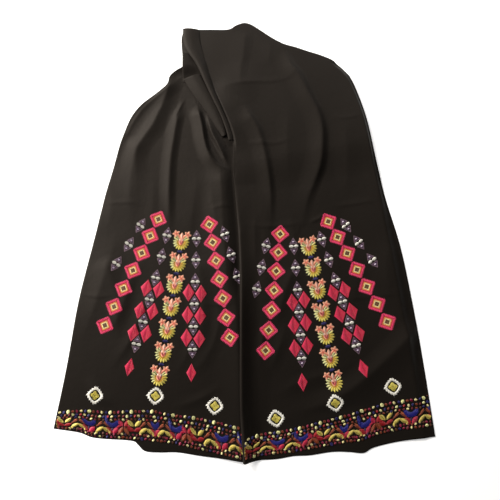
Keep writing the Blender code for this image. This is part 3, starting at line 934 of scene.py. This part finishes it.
def bowl(work, x, wide=BOWL_WIDE, arm=False):
    """Cobalt bowl between two horns, over a red V with a dark spot in it."""
    across = wide / BOWL_WIDE
    shape = [(-16, -19.5), (-10, -21), (-4, -26), (0, -27), (4, -26), (10, -21),
             (16, -19.5), (15.4, -30), (10, -37.5), (0, -39.5), (-10, -37.5), (-15.4, -30)]
    work.satin(np.array(shape) * (across, 1) + (x, 0), 1.35, "cobalt", 1.5)
    if arm:
        leaves(work, x, 0, BOWL_ARM)
    for side, colour in ((1, "cerise"), (-1, "red")):
        filled_leaf(work, x + 7.8 * side * across, -46, 20, 12.5, 52 * side, colour, 1.2)
    work.satin(ellipse(x, -43, 6.6, 6.6), 0.0, "purple", 1.8)


def petals(work, x):
    """Two rust petals leaning together under a red cross."""
    for side, colour in ((-1, "cerise"), (1, "red")):
        leaves(work, x, 0, RUST_PETALS, side)
        filled_leaf(work, x + 6.6 * side, -28.5, 18, 10.4, 58 * side, colour)
        filled_leaf(work, x + 10.6 * side, -35.5, 12, 7.0, -20 * side, colour)


def vee(work, x):
    """Yellow V of two leaves over a red pair."""
    for side in (-1, 1):
        leaves(work, x, 0, VEE_LEAVES, side)


def border():
    """The whole border of one hem: its shapes by their place in the repeat, then dots."""
    work = Work()
    for repeat in REPEATS:
        for place in ARCHES:
            arch(work, repeat + place)
        bowl(work, repeat + BOWL)
        bowl(work, repeat + NARROW_BOWL, NARROW_WIDE)
        for place in ARMED_BOWLS:
            bowl(work, repeat + place, ARMED_WIDE, arm=True)
        for place in PETALS:
            petals(work, repeat + place)
        for place in VEES:
            vee(work, repeat + place)
    for row in DOT_ROWS:
        row_of_dots(work, *row)
    return work


def inside(points, outline, margin):
    """Which plan points lie within a closed outline and clear of its edge."""
    x, y = points[:, 0], points[:, 1]
    odd = np.zeros(len(points), bool)
    near = np.full(len(points), np.inf)
    for a, b in zip(outline, np.roll(outline, -1, axis=0)):
        if min(a[1], b[1]) > y.max():
            continue
        spans = (a[1] > y) != (b[1] > y)
        if a[1] != b[1]:
            odd ^= spans & (x < (b[0] - a[0]) * (y - a[1]) / (b[1] - a[1]) + a[0])
        d = b - a
        t = np.clip(((points - a) @ d) / (d @ d + 1e-9), 0, 1)
        near = np.minimum(near, np.hypot(*(points - a - t[:, None] * d).T))
    return odd & (near > margin)


def stitched(name, work, put, turn, height, shown):
    """All stitches as one mesh of closed slim ridges that follow the cloth."""
    ends, colour, rise = work.placed(put, turn)
    middle = ends.mean(axis=1)
    keep = shown(middle) & shown(ends[:, 0]) & shown(ends[:, 1])
    keep &= np.linalg.norm(ends[:, 1] - ends[:, 0], axis=1) > SHORTEST_LAID
    ends, colour, rise = ends[keep], colour[keep], rise[keep]
    bulge = height(ends.mean(axis=1)) - (height(ends[:, 0]) + height(ends[:, 1])) / 2
    run = ends[:, 1] - ends[:, 0]
    length = np.linalg.norm(run, axis=1)
    run /= length[:, None]
    out = np.c_[-run[:, 1], run[:, 0]]
    wide = THREAD / 2 * rng.uniform(*THREAD_WIDTHS, len(ends))
    rise = rise * rng.uniform(*THREAD_RISES, len(ends)) + np.clip(bulge, 0, None)
    inset = np.clip(length * SLOPE, *SLOPE_LIMITS)
    rows = []
    for tip in (ends[:, 0], ends[:, 1]):
        rows.append(np.c_[tip, height(tip) + SILK / 2 - SUNK])
    for station in (ends[:, 0] + run * inset[:, None], ends[:, 1] - run * inset[:, None]):
        base = height(station) + SILK / 2
        rows.append(np.c_[station - out * wide[:, None], base + CLEAR])
        rows.append(np.c_[station, base + rise])
        rows.append(np.c_[station + out * wide[:, None], base + CLEAR])
    points = np.stack(rows, axis=1)
    tip0, tip1, r0, c0, l0, r1, c1, l1 = range(8)
    pattern = np.array([(tip0, r0, c0), (tip0, c0, l0), (tip0, l0, r0),
                        (r0, r1, c1), (r0, c1, c0), (c0, c1, l1), (c0, l1, l0),
                        (l0, l1, r1), (l0, r1, r0),
                        (tip1, c1, r1), (tip1, l1, c1), (tip1, r1, l1)])
    faces = (pattern + len(rows) * np.arange(len(ends))[:, None, None]).reshape(-1, 3)
    used = sorted(set(colour.tolist()))
    which = np.searchsorted(used, np.repeat(colour, len(pattern)))
    materials = [THREAD_MATERIALS[COLOURS[k]] for k in used]
    return add(name, points.reshape(-1, 3), faces.tolist(), materials, "embroidery", which)


def outline_of(hem, top, left, right):
    """A tail's closed outline in plan, counterclockwise from its hem."""
    share = np.linspace(0, 1, OUTLINE_STEPS)
    return np.concatenate([along(hem, share), along(right, share), along(top, share)[::-1],
                           along(left, share)[::-1]])


SILK_MATERIAL = cloth_material("silk_crepe", SILK_DARK, SILK_LIGHT, SILK_DYE, SILK_FINISH,
                               [SILK_WEAVE, SILK_RUMPLES])
THREAD_MATERIALS = {name: thread_material(name, shade(*rgb)) for name, rgb in THREADS.items()}


def build_tails():
    from_inner = even(TAIL_CELLS[0]) ** FINER
    plan = patch(LEFT_HEM, LEFT_TOP, LEFT_OUTER, LEFT_INNER, 1 - from_inner[::-1], TAIL_CELLS[1])
    left = add_silk("left_tail_silk", raised(plan, left_level(plan)))
    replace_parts(left, "left_tail")
    plan = patch(RIGHT_HEM, RIGHT_TOP, RIGHT_INNER, RIGHT_OUTER, from_inner, TAIL_CELLS[1])
    right = add_silk("right_tail_silk", turned_under(raised(plan, right_level(plan))))
    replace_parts(right, "right_tail")
    return left, right


def build_embroidery():
    """The stitches of both tails, kept off their edges and off what the right tail covers."""
    edge = border()
    left_edge = outline_of(LEFT_HEM, LEFT_TOP, LEFT_OUTER, LEFT_INNER)
    right_edge = outline_of(RIGHT_HEM, RIGHT_TOP, RIGHT_INNER, RIGHT_OUTER)

    def on_left(points):
        return inside(points, left_edge, EDGE_CLEAR) & ~inside(points, right_edge, COVERED_FROM)

    def on_right(points):
        return inside(points, right_edge, EDGE_CLEAR)

    def tail_work(tail, whites, field, rows, level, shown):
        return [stitched(tail + "_motifs", motif_field(whites), field_to_plan(field),
                         field[FIELD.index("turn")], level, shown),
                stitched(tail + "_border", edge, border_to_plan(rows), 0.0, level, shown)]

    return (tail_work("left", LEFT_WHITES, LEFT_FIELD, LEFT_BORDER, left_level, on_left),
            tail_work("right", RIGHT_WHITES, RIGHT_FIELD, RIGHT_BORDER, right_level, on_right))


def build_strip():
    """The second fold of the neck, a band that lies on the left tail's inner edge."""
    share = even(STRIP_CELLS[1])
    left, right = along(STRIP_LEFT, share)[:, None], along(STRIP_RIGHT, share)[:, None]
    u = even(STRIP_CELLS[0])[None, :, None]
    plan = left + (right - left) * u
    u = u[..., 0]
    seat = left_seat(plan) + WALL + 2 * GAP
    climb = smooth(u / STRIP_CLIMB_BY) * (1 - STRIP_LOW_END * share[:, None])
    climb *= 1 - STRIP_FALL * smooth((u - STRIP_FALL_FROM) / (1 - STRIP_FALL_FROM))
    seat += np.maximum(OVER_BACK + FLOOR - seat, 0) * climb
    crown = STRIP_CROWN * np.sin(np.pi * u) * (1 - STRIP_LOW_END * share[:, None])
    strip = add_silk("neck_strip_silk", raised(plan, seat + crown))
    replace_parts(strip, "neck_strip")
    return strip


def build_roll():
    """The right tail's inner edge, rolled over on itself on top of the neck."""
    section = along(ROLL_SECTION, even(ROLL_CELLS[0]))
    share = even(ROLL_CELLS[1])
    rows = []
    for low, a, b in zip(share, along(ROLL_LEFT, share), along(ROLL_RIGHT, share)):
        over_strip = STRIP_CROWN * smooth(low / ROLL_CLIMB) * (1 - low)
        seat = ROLL_SEAT + over_strip * (1 - smooth((section[:, 0] - ROLL_LEAN_FROM) / ROLL_LEAN))
        taper = 1 - ROLL_TAPER * smooth((low - ROLL_TAPER_FROM) / (1 - ROLL_TAPER_FROM))
        rows.append(np.c_[a + (b - a) * section[:, :1],
                          seat + FLOOR + (section[:, 1] - FLOOR) * taper])
    roll = add_silk("neck_roll_silk", np.array(rows))
    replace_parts(roll, "neck_roll")
    return roll


def build_pocket():
    """The small front layer at the top left, from the left tail up onto the neck's layers."""
    plan = patch(POCKET_LOW, POCKET_HIGH, POCKET_LEFT, POCKET_RIGHT, even(POCKET_CELLS[0]),
                 POCKET_CELLS[1])
    on_tail = left_level(plan) + POCKET_CLEAR + SILK
    on_neck = BACK_TOP + POCKET_CLEAR + SILK / 2
    lifted = POCKET_LIFT * smooth(1 - (plan[..., 0] - POCKET_LEFT[0][0]) / POCKET_LIFT_REACH)
    level = on_tail + (on_neck - on_tail) * smooth((plan[..., 1] - POCKET_STEP) / POCKET_RAMP)
    level += lifted * smooth((plan[..., 1] - POCKET_LOW[0][1]) / POCKET_RAMP)
    return add_silk("neck_pocket_silk", raised(plan, level))


def build_layers():
    """The hidden layers of the neck as one solid, its edge grooved between two layers."""
    edge = np.array(BACK_EDGE, float)[::-1]
    edge = along(np.vstack([edge, edge[:1]]), even(LAYERS_CELLS[0]))[:-1]
    run = np.roll(edge, -1, axis=0) - np.roll(edge, 1, axis=0)
    inward = np.c_[-run[:, 1], run[:, 0]] / np.linalg.norm(run, axis=1, keepdims=True)
    profile = along(BACK_PROFILE, even(LAYERS_CELLS[1]))
    rings = [np.c_[edge + inward * inset, np.full(len(edge), height)]
             for height, inset in profile]
    at = np.arange(len(rings) * len(edge)).reshape(len(rings), len(edge))
    following = np.roll(at, -1, axis=1)
    quads = np.stack([at[:-1], following[:-1], following[1:], at[1:]], -1).reshape(-1, 4)
    faces = [at[0, ::-1].tolist()] + quads.tolist() + [at[-1].tolist()]
    return add("neck_layers", np.concatenate(rings), faces, [SILK_MATERIAL], "silk")


# Stage, lamps and camera, in metres
STAGE_SIZE = 8.0
STAGE_DROP = 0.0002  # keeps the floor just under the cloth
WORLD_LIGHT = 0.06

# Lamps: name, place, aim, size, power, colour
LAMPS = (
    ("key", (-2.20, 2.00, 1.60), (0, 0, 0), (1.0, 0.8), 132, (1.0, 0.96, 0.91)),
    ("top", (-0.70, 1.70, 1.45), (0, 0.2, 0), (1.3, 0.7), 20, (1.0, 0.97, 0.94)),
    ("side", (-1.20, 0.10, 0.56), (-0.1, 0.0, 0), (0.6, 0.6), 17, (1.0, 0.96, 0.92)),
    ("back", (0.90, 2.00, 1.15), (0.1, 0, 0), (1.0, 0.8), 17, (1.0, 0.98, 0.96)),
)


def build_stage():
    bpy.ops.mesh.primitive_plane_add(size=STAGE_SIZE, location=(0, 0, -STAGE_DROP))
    floor = bpy.context.object
    floor.name = "floor"
    material, nodes, _ = nodes_of("floor_paper")
    set_inputs(nodes["Principled BSDF"], {
        "Base Color": (0.86, 0.86, 0.855, 1), "Roughness": 0.9,
        "Emission Color": (1, 1, 1, 1), "Emission Strength": 0.45})
    floor.data.materials.append(material)


def area_light(name, place, aim, size, power, colour):
    data = bpy.data.lights.new(name, "AREA")
    data.shape = "RECTANGLE"
    data.size, data.size_y = size
    data.energy = power
    data.color = colour
    lamp = linked(name, data)
    lamp.location = place
    away = np.array(place, float) - np.array(aim, float)
    lamp.rotation_euler = (math.acos(away[2] / np.linalg.norm(away)), 0,
                           math.atan2(away[1], away[0]) + math.pi / 2)


def build_lights():
    for lamp in LAMPS:
        area_light(*lamp)
    world = bpy.data.worlds.new("studio")
    world.use_nodes = True
    background = world.node_tree.nodes["Background"]
    set_inputs(background, {"Color": (1, 1, 1, 1), "Strength": WORLD_LIGHT})
    bpy.context.scene.world = world
    bpy.context.scene.view_settings.view_transform = "Standard"


def build_camera():
    data = bpy.data.cameras.new("camera")
    data.sensor_width = SENSOR
    data.lens = LENS_PX / PICTURE_PX * SENSOR
    camera = linked("camera", data)
    camera.location = (SIGHT[0] * MM, (SIGHT[1] - DISTANCE * math.sin(TILT)) * MM,
                       DISTANCE * math.cos(TILT) * MM)
    camera.rotation_euler = (TILT, 0, 0)
    bpy.context.scene.camera = camera


build_camera()
left_silk, right_silk = build_tails()
left_work, right_work = build_embroidery()
strip = build_strip()
roll = build_roll()
pocket = build_pocket()
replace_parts(build_layers(), "neck_back")
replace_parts(pocket, "neck_back")
build_stage()
build_lights()
